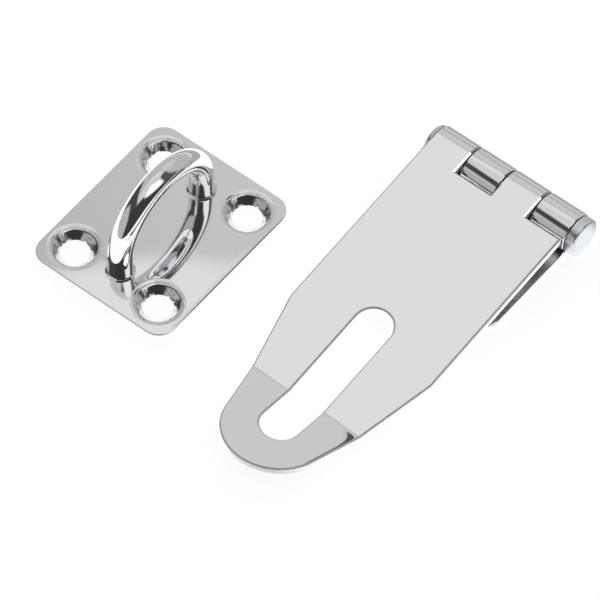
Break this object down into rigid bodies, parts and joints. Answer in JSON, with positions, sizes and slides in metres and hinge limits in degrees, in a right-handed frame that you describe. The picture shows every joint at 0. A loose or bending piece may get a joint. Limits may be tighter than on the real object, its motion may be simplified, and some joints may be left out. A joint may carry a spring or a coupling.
{
  "type": "padlock hasp",
  "caption": "Polished stainless padlock hasp: slotted leaf with a bent-up finger lift on a riveted pin hinge, and a bent-bar staple on its own screw plate.",
  "frame": {"origin": "middle of the hinge leaf's screw pattern, on the leaf's back, in the mounting plane", "axes": "+Z out of the mounting plane, X along the hinge pin with its head at +X, +Y from the leaf's tip to the hinge"},
  "size_m": [0.0824, 0.0854, 0.021],
  "materials": {
    "polished_leaf": "mirror-polished stainless sheet",
    "polished_plate": "mirror-polished stainless sheet",
    "polished_bar": "mirror-polished stainless round bar",
    "pin_steel": "satin stainless pin with a riveted end"
  },
  "bodies": {
    "hinge_base": {"hinge_leaf": "polished_leaf", "hinge_pin": "pin_steel", "staple_plate": "polished_plate", "staple": "polished_bar"},
    "hasp": {"hasp_leaf": "polished_leaf"}
  },
  "joints": [
    {"name": "hasp_swing", "type": "hinge", "parent": "hinge_base", "child": "hasp", "pos_m": [0, 0.0161, 0.00425], "axis": [-1, 0, 0], "range_deg": [0, 181]}
  ]
}
